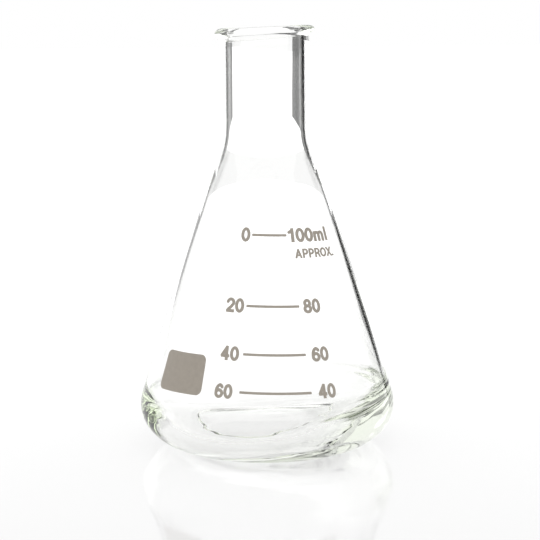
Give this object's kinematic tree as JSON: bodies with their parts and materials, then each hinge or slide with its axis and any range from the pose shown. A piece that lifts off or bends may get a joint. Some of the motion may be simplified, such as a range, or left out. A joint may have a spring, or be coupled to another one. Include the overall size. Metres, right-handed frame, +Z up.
{
  "type": "erlenmeyer flask",
  "caption": "Narrow-neck conical glass flask with a beaded lip, rounded heel, pushed-up base, fired enamel volume lines and a field for notes. It holds, mixes and roughly measures liquids.",
  "frame": {"origin": "centre of the base, on the surface that the flask stands on", "axes": "+Z up along the neck; the printed scale faces -Y; the field for notes is towards -X and -Y"},
  "size_m": [0.064, 0.064, 0.105],
  "materials": {
    "glass": "clear colourless borosilicate, fire-polished, faintly green where it is thick",
    "enamel": "fired enamel print, warm grey, satin"
  },
  "bodies": {
    "root": {"flask_body": "glass", "graduation_40_ml": "enamel", "graduation_60_ml": "enamel", "graduation_80_ml": "enamel", "graduation_100_ml": "enamel", "marking_patch": "enamel"}
  },
  "joints": []
}
